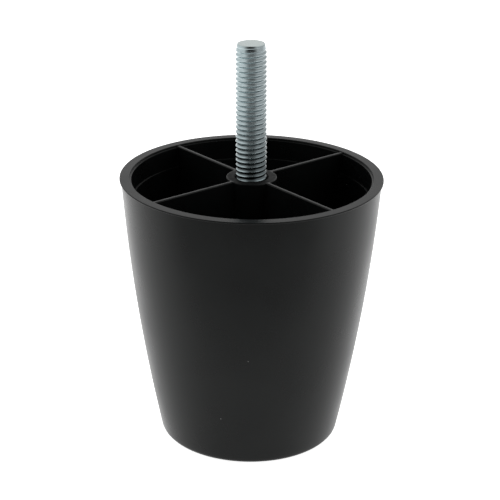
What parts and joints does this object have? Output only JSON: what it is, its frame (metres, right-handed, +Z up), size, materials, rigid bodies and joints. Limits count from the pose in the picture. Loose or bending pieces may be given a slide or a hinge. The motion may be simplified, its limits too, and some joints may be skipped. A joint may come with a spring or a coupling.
{
  "type": "furniture leg",
  "caption": "Round tapered furniture leg: hollow black plastic body with crossed ribs and a centre boss that holds a plated, threaded stud standing upright.",
  "frame": {"origin": "centre of the base ring, on the floor", "axes": "+Z up along the stud; +Y to the back; the ribs lie on the diagonals between X and Y"},
  "size_m": [0.0674, 0.0674, 0.1054],
  "materials": {
    "black_plastic": "satin, with a very fine moulded texture",
    "zinc_plate": "bright bluish zinc plate on rolled steel"
  },
  "bodies": {
    "root": {"leg_body": "black_plastic", "stud_bolt": "zinc_plate"}
  },
  "joints": []
}
